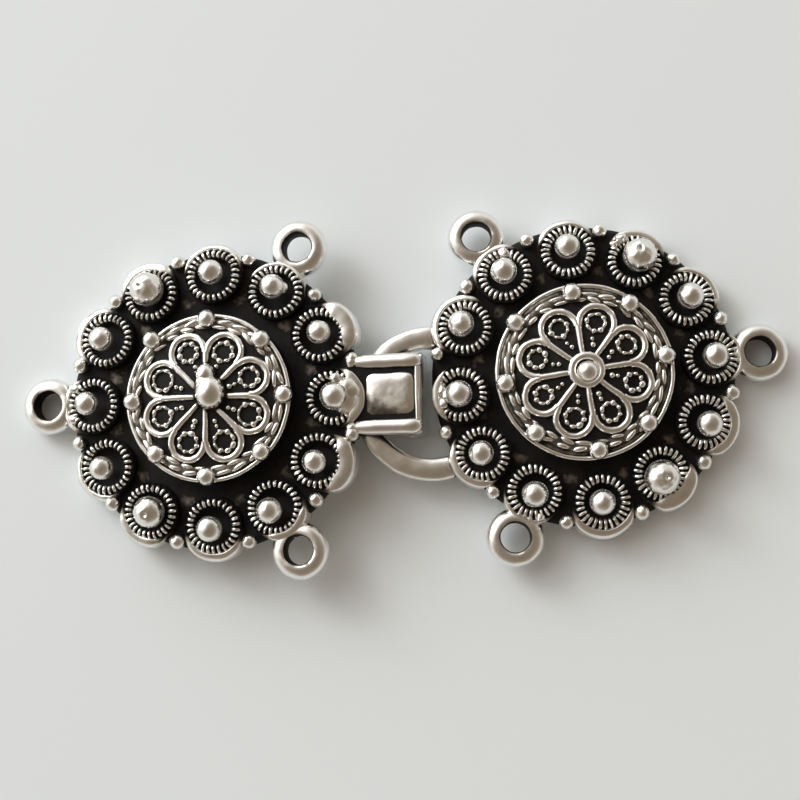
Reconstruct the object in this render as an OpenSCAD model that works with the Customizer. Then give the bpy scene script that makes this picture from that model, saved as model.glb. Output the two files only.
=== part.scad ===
// Hook and eye clasp for three strands: two round castings, hooked together and lying on a table.
// Each casting is a disc with twelve leaning rosettes round a low dome of wirework, and three loops.
// The clasp runs along X, hook half on the left, and stands on z = 0 under the middle of its box.
// Each half is drawn in its own frame: its disc's back is z = 0 and its joint lies along +X.

/* [Lie of the halves] */
// Distance between the middles of the halves along the clasp
half_pitch = 30.1; // [30:0.05:30.4]
// Distance of the eye half off the line of the hook half
half_offset = 2.2; // [1.8:0.1:2.4]
// Turn of the hook half in plan, in degrees
hook_turn = 1.4; // [1:0.1:1.8]
// Turn of the eye half in plan, in degrees
eye_turn = 7.6; // [7:0.1:8]
// Further turn of the eye about the middle of its half, in degrees
eye_skew = 3.2; // [2.8:0.1:3.4]
// Further turn of the rosette beside the eye, in degrees
joint_skew = 2.4; // [2:0.1:2.5]

/* [Disc] */
// Radius of the disc between its rosettes
disc_r = 12.3; // [12.2:0.05:12.35]
// Thickness of the disc between its rosettes and its dome
disc_t = 1.3; // [1.1:0.1:1.5]
// Radius of the hollow in the back
hollow_r = 5.6; // [5:0.1:6]
// Depth of the hollow in the back
hollow_depth = 1.8; // [1.2:0.1:2]

/* [Rosettes] */
// Rosettes round each half
rosette_count = 12; // [12]
// Radius of the circle that the rosettes stand on
rosette_circle_r = 10.4; // [10.35:0.05:10.5]
// Height of a rosette's face at its middle
rosette_h = 2.15; // [2:0.05:2.4]
// How far a rosette leans outwards, in degrees
rosette_lean = 8; // [6:1:10]
// Radius of a rosette's body at its face
rosette_r = 2.36; // [2.3:0.02:2.4]
// Radius of a rosette's body at the back of the disc
skirt_r = 2.4; // [2.38:0.01:2.42]
// Radius of the coil round a rosette's face
coil_r = 1.84; // [1.8:0.02:1.86]
// Radius of the coil's wire
coil_wire_r = 0.43; // [0.38:0.01:0.45]
// Radius of the ball in most rosettes
ball_r = 1.0; // [0.9:0.02:1.05]
// Radius of the ball in every fourth rosette
big_ball_r = 1.2; // [1.1:0.02:1.25]
// Height of a ball's middle above its rosette's face
ball_lift = 0.7; // [0.6:0.05:0.8]
// Radius of the grains on the edge between the rosettes
grain_r = 0.46; // [0.4:0.02:0.5]
// Radius of the circle that the grains stand on
grain_circle_r = 12.0; // [11.9:0.05:12.05]
// Height of a grain's middle
grain_h = 1.55; // [1.4:0.05:1.65]

/* [Dome] */
// Radius of the dome
dome_r = 6.8; // [6.7:0.05:6.9]
// Height of the top of the dome
dome_h = 3.75; // [3.6:0.05:3.9]
// Rise of the dome from its edge to its top
dome_rise = 0.68; // [0.6:0.02:0.8]
// Petals in the wirework
petal_count = 8; // [8]
// Radius of the circle through the middles of the petals' ends
petal_circle_r = 3.95; // [3.9:0.05:4]
// Radius of a petal's end
petal_r = 1.36; // [1.34:0.01:1.4]
// Radius of the wire of the petals
petal_wire_r = 0.19; // [0.16:0.01:0.2]
// Radius of the ring in each petal
petal_ring_r = 0.76; // [0.7:0.02:0.8]
// Radius of that ring's wire
petal_ring_wire_r = 0.2; // [0.16:0.01:0.21]
// Radius of the rope round the petals
rope_r = 6.05; // [6:0.05:6.1]
// Radius of that rope's wire
rope_wire_r = 0.32; // [0.3:0.01:0.34]
// Radius of the balls on the dome's rim
rim_ball_r = 0.77; // [0.7:0.01:0.8]
// Radius of the circle that those balls stand on
rim_ball_circle_r = 6.38; // [6.34:0.02:6.42]
// Turn of the eye half's dome against its rosettes, in degrees
eye_dome_turn = 1.7; // [1:0.1:3]

/* [Tips of the domes] */
// Radius of the ball on the hook half's dome
tip_ball_r = 1.2; // [1.1:0.05:1.3]
// How far that ball stands off the dome's middle, along X and Y
tip_shift = [0.5, 0.35]; // [0:0.05:0.6]
// Radius of the lump of metal beside that ball
lump_r = 0.7; // [0.6:0.05:0.8]
// How far the lump stands off the ball, along X and Y
lump_shift = [-0.4, 1.45]; // [-1.5:0.05:1.5]
// Radius of the cup on the eye half's dome, at the middle of its wire
cup_r = 1.1; // [1:0.05:1.2]
// Radius of the cup's wire
cup_wire_r = 0.36; // [0.3:0.02:0.4]
// Radius of the worn ball in the cup
cup_ball_r = 0.95; // [0.9:0.01:0.98]

/* [Loops] */
// Radius of the hole of a loop
loop_hole_r = 1.2; // [1.1:0.05:1.25]
// Radius of the wire of a loop
loop_wire_r = 0.88; // [0.84:0.01:0.9]
// Radius of a loop at the middle of its wire
loop_r = 1.48; // [1.44:0.02:1.52]
// Distance of a loop's hole from the middle of its half
loop_reach = 14.35; // [14.3:0.05:14.45]

/* [Hook] */
// Width of the hook
hook_w = 6.6; // [6.2:0.1:6.8]
// Distance of the hook's bend from the middle of its half
hook_reach = 17.35; // [17.2:0.05:17.4]
// Height of the underside of the hook's strap
strap_under = 0.7; // [0.6:0.05:0.8]
// Thickness of the strap
strap_t = 1.0; // [0.9:0.05:1.1]
// Height of the slot that holds the eye
slot_h = 2.2; // [2.2:0.05:2.4]
// Thickness of the hook's return under the eye
return_t = 0.95; // [0.9:0.05:1]
// Width of the return
return_w = 4.8; // [4:0.1:5]
// Distance of the return's end from the middle of the half
return_start = 12.9; // [12.8:0.1:13.2]
// Radius of the rails along the strap
rail_r = 0.67; // [0.6:0.01:0.7]

/* [Eye] */
// Radius of the wire of the eye
eye_wire_r = 0.95; // [0.9:0.01:0.96]
// Thickness of that wire, whose underside is flat
eye_t = 1.45; // [1.4:0.05:1.5]
// Radius of the eye at the middle of its wire
eye_r = 5.45; // [5.4:0.05:5.55]
// Distance of the middle of the eye's arch from the middle of its half
eye_centre = 12.6; // [12.5:0.05:12.65]
// How far the arch runs each side of its outer end, in degrees
eye_sweep = 115; // [110:1:120]

/* [Hidden] */
$fn = 48;
silver = "#b4b2ab";

rosette_step = 360 / rosette_count;
petal_step = 360 / petal_count;
cap_r = (dome_r * dome_r + dome_rise * dome_rise) / (2 * dome_rise);
loop_h = loop_wire_r + 0.05;
loop_turns = [60, 180, 300];
wall_t = 1.05;
corner_r = 0.9;
top_corner_r = 0.45;
inner_corner_r = 0.4;
pivot_x = 12.8;
pivot_h = strap_under - slot_h / 2;
return_floor = strap_under - slot_h - return_t;
notch_start = 11.15;
notch_half_w = 4.0;
joint_inset = 0.15;
coil_lift = 0.08;
rim_ball_lift = 0.3;
tip_ball_lift = 0.35;
tip_lift = 0.1;
spoke_start = 0.8;
rail_sink = 0.2;
rail_setback = 0.45;
far = 60;
spare = 1;

// The hook half lies on its far loop and on its return, which gives how far it leans.
hook_span = loop_reach + loop_r + return_start;
hook_drop = loop_h - return_floor;
hook_lean = atan2(hook_drop, hook_span) - asin(loop_wire_r / norm([hook_drop, hook_span]));
hook_raise = (loop_reach + loop_r) * sin(hook_lean) - loop_h * cos(hook_lean) + loop_wire_r;

// The eye half lies on its far loop, with its wire at the middle of the hook's slot.
pivot_z = pivot_x * sin(hook_lean) + pivot_h * cos(hook_lean) + hook_raise;
eye_pivot_x = half_pitch - pivot_x;
eye_span = loop_reach + loop_r + eye_pivot_x;
eye_drop = loop_h - eye_t / 2;
eye_lean = atan2(eye_drop, eye_span) + asin((pivot_z - loop_wire_r) / norm([eye_drop, eye_span]));
eye_raise = (loop_reach + loop_r) * sin(eye_lean) - loop_h * cos(eye_lean) + loop_wire_r;

// The middle of the box: its ends are the far loops, its sides a loop of each half.
loop_edge = loop_r + loop_wire_r;
left_end = -loop_reach * cos(hook_lean) * cos(hook_turn) - loop_edge;
right_end = half_pitch + loop_reach * cos(eye_lean) * cos(eye_turn) + loop_edge;
front_side = loop_reach * sin(loop_turns[2] + hook_turn) - loop_edge;
back_side = half_offset + loop_reach * sin(180 - loop_turns[0] + eye_turn) + loop_edge;
middle_x = (left_end + right_end) / 2;
middle_y = (front_side + back_side) / 2;

module torus(ring_r, wire_r, sweep = 360) {
    rotate_extrude(angle = sweep)
        translate([ring_r, 0])
            circle(r = wire_r);
}

module round_copies(count, start = 0) {
    for (i = [0 : count - 1])
        rotate([0, 0, start + i * 360 / count])
            children();
}

// Stands children on the dome's curved top, at distance r from its middle along X.
module on_dome(r) {
    translate([0, 0, dome_h - cap_r])
        rotate([0, asin(r / cap_r), 0])
            translate([0, 0, cap_r])
                children();
}

module disc() {
    cylinder(r = disc_r, h = disc_t);
}

// Stands children on a rosette's leaning face, with their Z square to it.
module on_rosette() {
    translate([rosette_circle_r, 0, rosette_h])
        rotate([0, rosette_lean, 0])
            children();
}

module rosette(centre_r) {
    difference() {
        translate([rosette_circle_r, 0, 0])
            cylinder(r1 = skirt_r, r2 = rosette_r, h = 2 * rosette_h);
        on_rosette()
            translate([-far / 2, -far / 2, 0])
                cube(far);
    }
    on_rosette() {
        translate([0, 0, coil_lift])
            torus(coil_r, coil_wire_r);
        translate([0, 0, ball_lift])
            sphere(r = centre_r);
    }
}

// Every fourth rosette, counted from the joint, has the bigger ball.
module rosettes(skew, inset) {
    for (i = [0 : rosette_count - 1])
        rotate([0, 0, i * rosette_step + (i == 0 ? skew : 0)])
            translate([i == 0 ? -inset : 0, 0, 0])
                rosette(i % 4 == 0 ? big_ball_r : ball_r);
}

module grains() {
    round_copies(rosette_count, rosette_step / 2)
        translate([grain_circle_r, 0, grain_h])
            sphere(r = grain_r);
}

module dome_body() {
    intersection() {
        cylinder(r = dome_r, h = dome_h + spare);
        translate([0, 0, dome_h - cap_r])
            sphere(r = cap_r);
    }
}

module petal() {
    on_dome(petal_circle_r) {
        rotate([0, 0, -90 - petal_step / 2])
            torus(petal_r, petal_wire_r, 180 + petal_step);
        torus(petal_ring_r, petal_ring_wire_r);
    }
}

module spoke() {
    spoke_end = petal_circle_r * cos(petal_step / 2);
    on_dome((spoke_start + spoke_end) / 2)
        rotate([0, 90, 0])
            cylinder(r = petal_wire_r, h = spoke_end - spoke_start, center = true);
}

module rim() {
    translate([0, 0, dome_h - cap_r + sqrt(cap_r * cap_r - rope_r * rope_r)])
        torus(rope_r, rope_wire_r);
    round_copies(petal_count)
        on_dome(rim_ball_circle_r)
            translate([0, 0, rim_ball_lift])
                sphere(r = rim_ball_r);
}

module dome() {
    dome_body();
    round_copies(petal_count, petal_step / 2)
        petal();
    round_copies(petal_count)
        spoke();
    rim();
}

// The hook half's dome ends in a ball that a lump of metal has run against.
module ball_tip() {
    translate([tip_shift.x, tip_shift.y, dome_h]) {
        translate([0, 0, tip_ball_lift])
            sphere(r = tip_ball_r);
        translate([lump_shift.x, lump_shift.y, tip_lift])
            sphere(r = lump_r);
    }
}

// The eye half's dome ends in a cup with a worn ball in it.
module cup_tip() {
    translate([0, 0, dome_h + tip_lift]) {
        torus(cup_r, cup_wire_r);
        sphere(r = cup_ball_r);
    }
}

module loops() {
    for (turn = loop_turns)
        rotate([0, 0, turn])
            translate([loop_reach, 0, loop_h])
                torus(loop_r, loop_wire_r);
}

module loop_holes() {
    for (turn = loop_turns)
        rotate([0, 0, turn])
            translate([loop_reach, 0, -spare])
                cylinder(r = loop_hole_r, h = 2 * (loop_h + spare));
}

module back_hollow() {
    translate([0, 0, -spare])
        cylinder(r = hollow_r, h = hollow_depth + spare);
}

module half_body(dome_turn = 0, skew = 0, inset = 0) {
    disc();
    rosettes(skew, inset);
    grains();
    rotate([0, 0, dome_turn])
        dome();
    loops();
}

// The strap, its bend and the return, as one profile across the hook.
module hook_profile() {
    top = strap_under + strap_t;
    difference() {
        union() {
            translate([0, return_floor + corner_r])
                square([hook_reach, top - return_floor - corner_r - top_corner_r]);
            translate([0, return_floor])
                square([hook_reach - corner_r, top - return_floor]);
            translate([0, top - strap_t])
                square([hook_reach - top_corner_r, strap_t]);
            translate([hook_reach - corner_r, return_floor + corner_r])
                circle(r = corner_r);
            translate([hook_reach - top_corner_r, top - top_corner_r])
                circle(r = top_corner_r);
        }
        translate([-spare, return_floor - spare])
            square([hook_reach - wall_t - inner_corner_r + spare, strap_under - return_floor + spare]);
        translate([-spare, strap_under - slot_h + inner_corner_r])
            square([hook_reach - wall_t + spare, slot_h - 2 * inner_corner_r]);
        for (h = [strap_under - slot_h + inner_corner_r, strap_under - inner_corner_r])
            translate([hook_reach - wall_t - inner_corner_r, h])
                circle(r = inner_corner_r);
    }
}

module hook_return() {
    start = return_start;
    end = hook_reach - corner_r;
    translate([start, return_w / 2, return_floor])
        rotate([90, 0, 0])
            linear_extrude(return_w)
                union() {
                    square([end - start, return_t]);
                    translate([0, return_t / 2])
                        circle(r = return_t / 2);
                }
}

module hook() {
    difference() {
        translate([0, hook_w / 2, 0])
            rotate([90, 0, 0])
                linear_extrude(hook_w)
                    hook_profile();
        translate([-spare, -far / 2, -far / 2])
            cube([notch_start, far, far]);
    }
    hook_return();
    for (side = [-1, 1])
        translate([grain_circle_r, side * (hook_w / 2 - rail_r), strap_under + strap_t - rail_sink])
            rotate([0, 90, 0])
                cylinder(r = rail_r, h = hook_reach - rail_setback - grain_circle_r);
}

// Room for the eye under the edge of the disc.
module hook_notch() {
    translate([notch_start, -notch_half_w, -far])
        cube([far, 2 * notch_half_w, far + strap_under]);
}

// A round wire's section, flat underneath.
module eye_section() {
    intersection() {
        translate([0, eye_t - eye_wire_r])
            circle(r = eye_wire_r);
        translate([-eye_t, 0])
            square([2 * eye_t, eye_t + spare]);
    }
}

// An arch whose ends run into the disc.
module eye() {
    rotate([0, 0, eye_skew])
        translate([eye_centre, 0, 0])
            rotate([0, 0, -eye_sweep])
                rotate_extrude(angle = 2 * eye_sweep)
                    translate([eye_r, 0])
                        eye_section();
}

module hook_half() {
    color(silver)
        translate([-middle_x, -middle_y, hook_raise])
            rotate([0, 0, hook_turn])
                rotate([0, -hook_lean, 0])
                    difference() {
                        union() {
                            difference() {
                                union() {
                                    half_body();
                                    ball_tip();
                                }
                                hook_notch();
                            }
                            hook();
                        }
                        back_hollow();
                        loop_holes();
                    }
}

// The eye half is drawn with its joint along +X too, and turned round to face the hook.
module eye_half() {
    color(silver)
        translate([half_pitch - middle_x, half_offset - middle_y, eye_raise])
            rotate([0, 0, eye_turn + 180])
                rotate([0, -eye_lean, 0])
                    difference() {
                        union() {
                            half_body(eye_dome_turn, joint_skew, joint_inset);
                            cup_tip();
                            eye();
                        }
                        back_hollow();
                        loop_holes();
                    }
}

hook_half();
eye_half();
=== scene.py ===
"""Antique-silver hook and eye clasp for three strands, fastened and lying on a pale table."""
import math
from collections import namedtuple

import bmesh
import bpy
import numpy as np
from mathutils import Euler, Matrix, Vector, noise
from mathutils.bvhtree import BVHTree


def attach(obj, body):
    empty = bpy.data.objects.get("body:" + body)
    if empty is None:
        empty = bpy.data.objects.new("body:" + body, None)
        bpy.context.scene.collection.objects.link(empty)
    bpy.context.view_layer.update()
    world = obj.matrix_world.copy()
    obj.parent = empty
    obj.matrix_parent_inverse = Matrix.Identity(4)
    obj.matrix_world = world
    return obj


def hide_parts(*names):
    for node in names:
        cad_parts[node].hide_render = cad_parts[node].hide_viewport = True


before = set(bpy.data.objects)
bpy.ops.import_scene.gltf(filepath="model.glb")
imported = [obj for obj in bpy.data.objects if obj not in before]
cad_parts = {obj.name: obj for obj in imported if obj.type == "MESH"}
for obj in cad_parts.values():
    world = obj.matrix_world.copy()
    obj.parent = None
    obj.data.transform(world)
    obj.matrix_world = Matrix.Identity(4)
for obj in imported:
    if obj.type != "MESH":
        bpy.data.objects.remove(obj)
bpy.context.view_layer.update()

MM = 0.001
noise.seed_set(5)  # unless a seed is set, the noise vectors start from the clock and differ each run

# Lie of the two halves, in millimetres and degrees, as in the part's source.
HALF_PITCH = 30.1
HALF_OFFSET = 2.2
HOOK_TURN = 1.4
EYE_TURN = 7.6
EYE_SKEW = 3.2
JOINT_SKEW = 2.4
JOINT_INSET = 0.15
HOOK_LEAN = 4.9666
EYE_LEAN = 2.3500
HOOK_RAISE = 1.3240
EYE_RAISE = 0.5999
MIDDLE_X = 15.0101
MIDDLE_Y = 0.6605

DISC_R = 12.3
DISC_T = 1.3
HOLLOW_R = 5.6
HOLLOW_DEPTH = 1.8
ROSETTES = 12
ROSETTE_CIRCLE_R = 10.4
ROSETTE_H = 2.15
ROSETTE_LEAN = 8
SKIRT_R = 2.38
HOOK_RIB_R = 0.29
EYE_RIB_R = 0.37
RIB_WIRE_R = 0.13
RIB_OUTER_R = 2.36
RIBS = 27
RING_SINK = 0.2
BALL_LIFT = 0.7
GRAIN_CIRCLE_R = 12.0
GRAIN_H = 1.55
DOME_R = 6.8
DOME_H = 3.75
DOME_RISE = 0.68
CAP_R = (DOME_R ** 2 + DOME_RISE ** 2) / (2 * DOME_RISE)
PETALS = 8
PETAL_CIRCLE_R = 3.95
PETAL_R = 1.43
PETAL_WIRE_R = 0.29
ROPE_R = 6.05
RIM_BALL_CIRCLE_R = 6.38
RIM_BALL_R = 0.77
LOOP_HOLE_R = 1.2
LOOP_WIRE_R = 0.88
LOOP_R = 1.48
LOOP_REACH = 14.35
LOOP_H = LOOP_WIRE_R + 0.05
HOOK_W = 6.6
HOOK_REACH = 17.35
STRAP_UNDER = 0.7
STRAP_T = 1.0
SLOT_H = 2.2
RETURN_T = 0.95
RETURN_W = 4.8
RETURN_START = 12.9
RAIL_R = 0.67
EYE_WIRE_R = 0.95
EYE_T = 1.45
EYE_R = 5.45
EYE_CENTRE = 12.6
EYE_SWEEP = 115
IN_PLACE = Matrix.Identity(4)


def shift(x, y, z):
    return Matrix.Translation((x, y, z))


def turn_z(degrees):
    return Matrix.Rotation(math.radians(degrees), 4, "Z")


def turn_y(degrees):
    return Matrix.Rotation(math.radians(degrees), 4, "Y")


def place(x, y, z, turn, lean):
    """Where a half lies: its middle, its turn about the upright and how far it leans up outwards."""
    return shift(x, y, z) @ turn_z(turn) @ turn_y(-lean)


HOOK_PLACE = place(-MIDDLE_X, -MIDDLE_Y, HOOK_RAISE, HOOK_TURN, HOOK_LEAN)
EYE_PLACE = place(HALF_PITCH - MIDDLE_X, HALF_OFFSET - MIDDLE_Y, EYE_RAISE, EYE_TURN + 180, EYE_LEAN)


def linear(hex_colour):
    """An sRGB hex colour as Blender's linear values."""
    parts = [int(hex_colour[i:i + 2], 16) / 255 for i in (1, 3, 5)]
    return [p / 12.92 if p <= 0.04045 else ((p + 0.055) / 1.055) ** 2.4 for p in parts] + [1.0]


def clamp(value):
    return min(1.0, max(0.0, value))


def around(r, a, h):
    """A point at a radius, an angle in radians and a height."""
    return Vector((r * math.cos(a), r * math.sin(a), h))


def dome_height(r):
    return DOME_H - CAP_R + math.sqrt(CAP_R ** 2 - r * r)


def on_dome(r):
    """Stands a thing on the dome's curved top, at distance r from its middle along X."""
    return shift(0, 0, DOME_H - CAP_R) @ Matrix.Rotation(math.asin(r / CAP_R), 4, "Y") @ shift(0, 0, CAP_R)


def on_rosette():
    """Stands a thing in the middle of a rosette's leaning rim."""
    return shift(ROSETTE_CIRCLE_R, 0, ROSETTE_H) @ turn_y(ROSETTE_LEAN)


def moved_by(matrix, corners):
    m = np.array(matrix)
    return np.asarray(corners, dtype=float) @ m[:3, :3].T + m[:3, 3]


class Metal:
    """Gathers the closed shapes of one piece, in the half's own frame in millimetres.

    Each corner keeps a polish value, 1 where tumbling brightens it and 0 where it stays black, and an
    open value, 1 where it lies at the outline and nothing beside it keeps the tumbling off.
    """

    def __init__(self):
        self.corners = []
        self.faces = []
        self.polish = []
        self.open = []
        self.count = 0

    def add(self, corners, faces, at=IN_PLACE, polish=1.0, open_side=0.0):
        self.corners.append(moved_by(at, corners))
        for kept, value in ((self.polish, polish), (self.open, open_side)):
            kept.append(np.broadcast_to(np.asarray(value, dtype=float), (len(corners),)))
        self.faces.extend([[v + self.count for v in f] for f in faces])
        self.count += len(corners)


def ring_faces(rows, columns, closed_rows, closed_columns):
    """The four-sided faces of a grid of corners, which may close on itself either way."""
    faces = []
    for i in range(rows if closed_rows else rows - 1):
        for j in range(columns if closed_columns else columns - 1):
            a = i * columns + j
            b = i * columns + (j + 1) % columns
            c = ((i + 1) % rows) * columns + (j + 1) % columns
            d = ((i + 1) % rows) * columns + j
            faces.append([a, b, c, d])
    return faces


def end_fans(rows, columns):
    """Closes both ends of turned rows with fans to the two corners that follow the rows."""
    first = rows * columns
    faces = []
    for i in range(rows):
        k = (i + 1) % rows
        faces.append([first, i * columns, k * columns])
        faces.append([i * columns + columns - 1, k * columns + columns - 1, first + 1])
    return faces


def lathe(profile, steps, closed=False):
    """Turns a profile of (radius, height) points about Z; open profiles start and end on the axis."""
    body = profile if closed else profile[1:-1]
    corners = []
    for i in range(steps):
        a = 2 * math.pi * i / steps
        corners += [(r * math.cos(a), r * math.sin(a), h) for r, h in body]
    faces = ring_faces(steps, len(body), True, closed)
    if not closed:
        faces += end_fans(steps, len(body))
        corners += [(0, 0, profile[0][1]), (0, 0, profile[-1][1])]
    return corners, faces


def arc_points(cx, cy, r, start, end, steps):
    return [(cx + r * math.cos(math.radians(start + (end - start) * i / steps)),
             cy + r * math.sin(math.radians(start + (end - start) * i / steps))) for i in range(steps + 1)]


def ball(r, rings, steps):
    profile = [(0, -r)]
    for i in range(1, rings):
        a = math.pi * i / rings
        profile.append((r * math.sin(a), -r * math.cos(a)))
    profile.append((0, r))
    return lathe(profile, steps)


def sweep(path, radii, sides, closed=False, squash=1.0):
    """A round bar along a path, its ends rounded off; radii has one value or one for each point."""
    path = [Vector(p) for p in path]
    n = len(path)
    radii = [radii] * n if isinstance(radii, (int, float)) else list(radii)
    corners = []
    for i, p in enumerate(path):
        before = path[(i - 1) % n] if closed or i > 0 else p
        after = path[(i + 1) % n] if closed or i < n - 1 else p
        along = (after - before).normalized()
        side = Vector((0, 0, 1)).cross(along)
        side = side.normalized() if side.length > 1e-6 else Vector((1, 0, 0))
        up = along.cross(side).normalized()
        for j in range(sides):
            a = 2 * math.pi * j / sides
            corners.append(p + side * math.cos(a) * radii[i] + up * math.sin(a) * radii[i] * squash)
    faces = ring_faces(n, sides, closed, True)
    if not closed:
        faces.append(list(range(sides)))
        faces.append([(n - 1) * sides + j for j in range(sides)])
    return corners, faces


def torus(ring_r, wire_r, steps, sides, squash=1.0):
    path = [(x, y, 0) for x, y in arc_points(0, 0, ring_r, 0, 360, steps)[:-1]]
    return sweep(path, wire_r, sides, closed=True, squash=squash)


def add_node(tree, kind, links=(), stops=(), **settings):
    """Adds a node with its properties, its inputs from (input, socket or value) pairs and any ramp stops."""
    node = tree.nodes.new(kind)
    for name, value in settings.items():
        setattr(node, name, value)
    for name, source in links:
        if isinstance(source, bpy.types.NodeSocket):
            tree.links.new(source, node.inputs[name])
        else:
            node.inputs[name].default_value = source
    for i, (position, value) in enumerate(stops):
        elements = node.color_ramp.elements
        element = elements[i] if i < len(elements) else elements.new(position)
        element.position = position
        element.color = linear(value)
    return node


def ring_tree(name, result, sizes, stand, make_unit):
    """A node tree that lays one unit on each point of a ring, each a little turned and scaled at random.

    make_unit adds the unit's own nodes, from the tree's inputs, and returns its mesh and its size.
    """
    tree = bpy.data.node_groups.new(name, "GeometryNodeTree")
    inputs = [(size, "Float") for size in ("Ring radius", "Tilt", "Unevenness") + sizes]
    inputs += [("Count", "Int"), ("Seed", "Int"), ("Metal", "Material")]
    for label, kind in inputs:
        tree.interface.new_socket(label, in_out="INPUT", socket_type="NodeSocket" + kind)
    tree.interface.new_socket(result, in_out="OUTPUT", socket_type="NodeSocketGeometry")
    given = add_node(tree, "NodeGroupInput").outputs
    circle = add_node(tree, "GeometryNodeMeshCircle",
                      [("Vertices", given["Count"]), ("Radius", given["Ring radius"])])
    position = add_node(tree, "GeometryNodeInputPosition")
    spot = add_node(tree, "ShaderNodeSeparateXYZ", [(0, position.outputs[0])])
    angle = add_node(tree, "ShaderNodeMath", [(0, spot.outputs["Y"]), (1, spot.outputs["X"])],
                     operation="ARCTAN2")
    tilt = add_node(tree, "ShaderNodeMath", [(0, given["Tilt"])], operation="RADIANS")
    low = add_node(tree, "ShaderNodeMath", [(0, 1.0), (1, given["Unevenness"])], operation="SUBTRACT")
    high = add_node(tree, "ShaderNodeMath", [(0, 1.0), (1, given["Unevenness"])], operation="ADD")
    sway = add_node(tree, "FunctionNodeRandomValue",
                    [("Min", low.outputs[0]), ("Max", high.outputs[0]), ("Seed", given["Seed"])],
                    data_type="FLOAT")
    sway_value = next(socket for socket in sway.outputs if socket.enabled)
    off = add_node(tree, "ShaderNodeMath", [(0, sway_value), (1, 1.0)], operation="SUBTRACT")
    turned = add_node(tree, "ShaderNodeMath", [(0, angle.outputs[0]), (1, tilt.outputs[0])],
                      operation="ADD")
    turned = add_node(tree, "ShaderNodeMath", [(0, turned.outputs[0]), (1, off.outputs[0])],
                      operation="ADD")
    rotation = add_node(tree, "ShaderNodeCombineXYZ", [("X", stand), ("Z", turned.outputs[0])])
    low_size = add_node(tree, "ShaderNodeCombineXYZ", [(i, low.outputs[0]) for i in range(3)])
    high_size = add_node(tree, "ShaderNodeCombineXYZ", [(i, high.outputs[0]) for i in range(3)])
    change = add_node(tree, "FunctionNodeRandomValue",
                      [(0, low_size.outputs[0]), (1, high_size.outputs[0]), ("Seed", given["Seed"])],
                      data_type="FLOAT_VECTOR")
    unit, size = make_unit(tree, given)
    scale = add_node(tree, "ShaderNodeVectorMath", [(0, size), (1, change.outputs[0])],
                     operation="MULTIPLY")
    laid = add_node(tree, "GeometryNodeInstanceOnPoints",
                    [("Points", circle.outputs["Mesh"]), ("Instance", unit),
                     ("Rotation", rotation.outputs[0]), ("Scale", scale.outputs[0])])
    real = add_node(tree, "GeometryNodeRealizeInstances", [("Geometry", laid.outputs["Instances"])])
    dressed = add_node(tree, "GeometryNodeSetMaterial",
                       [("Geometry", real.outputs["Geometry"]), ("Material", given["Metal"])])
    add_node(tree, "NodeGroupOutput", [(result, dressed.outputs["Geometry"])])
    return tree


def make_grain(tree, given):
    """A small oval grain."""
    grain = add_node(tree, "GeometryNodeMeshUVSphere", [("Segments", 8), ("Rings", 6), ("Radius", 0.5)])
    size = add_node(tree, "ShaderNodeCombineXYZ",
                    [("X", given["Length"]), ("Y", given["Width"]), ("Z", given["Height"])])
    return grain.outputs["Mesh"], size.outputs[0]


def make_rib(tree, given):
    """A short wire arch, like one turn of a coiled wire."""
    arch = add_node(tree, "GeometryNodeCurveArc",
                    [("Resolution", 7), ("Radius", given["Arch radius"]),
                     ("Start Angle", math.radians(-20)), ("Sweep Angle", math.radians(220))],
                    mode="RADIUS")
    wire = add_node(tree, "GeometryNodeCurvePrimitiveCircle",
                    [("Resolution", 7), ("Radius", given["Wire radius"])], mode="RADIUS")
    rib = add_node(tree, "GeometryNodeCurveToMesh",
                   [("Curve", arch.outputs["Curve"]), ("Profile Curve", wire.outputs["Curve"]),
                    ("Fill Caps", True)])
    return rib.outputs["Mesh"], (1.0, 1.0, 1.0)


RING_OF_GRAINS = ring_tree("ring_of_grains", "Grains", ("Length", "Width", "Height"), 0.0, make_grain)
RING_OF_RIBS = ring_tree("ring_of_ribs", "Ribs", ("Arch radius", "Wire radius"), math.pi / 2, make_rib)


def run_tree(tree, values):
    """Runs a tree once with the named values and returns its plain mesh as corners and faces."""
    holder = bpy.data.objects.new("holder", bpy.data.meshes.new("holder"))
    bpy.context.scene.collection.objects.link(holder)
    modifier = holder.modifiers.new("tree", "NODES")
    modifier.node_group = tree
    for item in tree.interface.items_tree:
        if item.in_out == "INPUT":
            modifier[item.identifier] = SILVER if item.name == "Metal" else values[item.name]
    evaluated = holder.evaluated_get(bpy.context.evaluated_depsgraph_get())
    mesh = bpy.data.meshes.new_from_object(evaluated)
    holder.modifiers.remove(modifier)
    corners = np.empty(len(mesh.vertices) * 3)
    mesh.vertices.foreach_get("co", corners)
    faces = [list(p.vertices) for p in mesh.polygons]
    bpy.data.objects.remove(holder)
    bpy.data.meshes.remove(mesh)
    return corners.reshape(-1, 3), faces


def ring_of_grains(count, ring_r, size, tilt, unevenness, seed):
    """A ring of grains lying on a circle, for the beaded rings and the rope."""
    length, width, height = size
    return run_tree(RING_OF_GRAINS, {"Count": count, "Ring radius": ring_r, "Length": length, "Width": width,
                                     "Height": height, "Tilt": tilt, "Unevenness": unevenness, "Seed": seed})


def ring_of_ribs(arch_r, seed):
    """The turns of a coil standing side by side, their outer sides just inside the cup's rim."""
    gap = 0.03
    ring_r = RIB_OUTER_R - gap - RIB_WIRE_R - arch_r
    return run_tree(RING_OF_RIBS, {"Count": RIBS, "Ring radius": ring_r, "Arch radius": arch_r,
                                   "Wire radius": RIB_WIRE_R, "Tilt": 0.0, "Unevenness": 0.09, "Seed": seed})


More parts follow.
